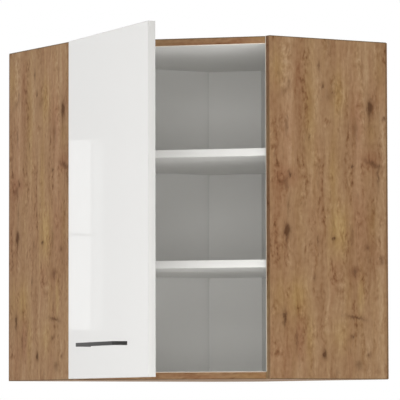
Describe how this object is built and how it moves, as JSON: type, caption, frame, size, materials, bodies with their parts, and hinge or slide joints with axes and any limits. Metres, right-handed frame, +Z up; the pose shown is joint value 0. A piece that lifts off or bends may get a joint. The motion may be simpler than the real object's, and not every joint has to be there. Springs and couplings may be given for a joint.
{
  "type": "corner wall cabinet",
  "caption": "Diagonal corner wall cabinet with oak decor sides, a white gloss door on single-pivot cup hinges, a bow handle, fixed shelves and wall brackets.",
  "frame": {"origin": "the room corner, where both wall faces meet, at the level of the cabinet's underside (mount wall_corner)", "axes": "+Z up, -Y out of the room corner towards the user, +X to the user's right; the walls run away from the corner at 45 degrees to X"},
  "size_m": [0.8472, 0.9272, 0.72],
  "materials": {
    "oak_board": "oak decor melamine outside, white inside",
    "oak_edging": "oak decor edging",
    "white_board": "white melamine",
    "white_edging": "satin",
    "white_sheet": "white lacquered fibreboard",
    "gloss_white": "high gloss lacquer",
    "anthracite_metal": "dark anodised, satin",
    "nickel_steel": "nickel plated",
    "zinc_steel": "zinc plated",
    "white_plastic": "satin",
    "beech": "bare"
  },
  "bodies": {
    "carcass": {"left_side_panel": "oak_board", "right_side_panel": "oak_board", "top_panel": "oak_board", "bottom_panel": "oak_board", "left_side_edging": "oak_edging", "right_side_edging": "oak_edging", "top_panel_edging": "oak_edging", "bottom_panel_edging": "oak_edging", "lower_shelf": "white_board", "upper_shelf": "white_board", "rear_corner_panel": "white_board", "lower_shelf_edging": "white_edging", "upper_shelf_edging": "white_edging", "left_back_sheet": "white_sheet", "right_back_sheet": "white_sheet", "lower_hinge_arm": "nickel_steel", "upper_hinge_arm": "nickel_steel", "lower_hinge_plate": "nickel_steel", "upper_hinge_plate": "nickel_steel", "lower_hinge_pin": "nickel_steel", "upper_hinge_pin": "nickel_steel", "hinge_plate_screws": "nickel_steel", "hinge_arm_screws": "nickel_steel", "left_hanging_bracket": "zinc_steel", "right_hanging_bracket": "zinc_steel", "bracket_screws": "zinc_steel", "connector_cams": "zinc_steel", "cam_bolts": "zinc_steel", "rear_panel_screws": "zinc_steel", "left_back_nails": "zinc_steel", "right_back_nails": "zinc_steel", "lower_shelf_supports": "white_plastic", "upper_shelf_supports": "white_plastic", "cam_caps": "white_plastic", "carcass_dowels": "beech"},
    "door": {"door_panel": "gloss_white", "door_edging": "gloss_white", "handle": "anthracite_metal", "handle_screws": "nickel_steel", "lower_hinge_cup": "nickel_steel", "upper_hinge_cup": "nickel_steel", "hinge_cup_screws": "nickel_steel"}
  },
  "joints": [
    {"name": "door_hinge", "type": "hinge", "parent": "carcass", "child": "door", "pos_m": [-0.21, -0.64028, 0.36], "axis": [0, 0, -1], "range_deg": [-51.2, 43.8]}
  ]
}
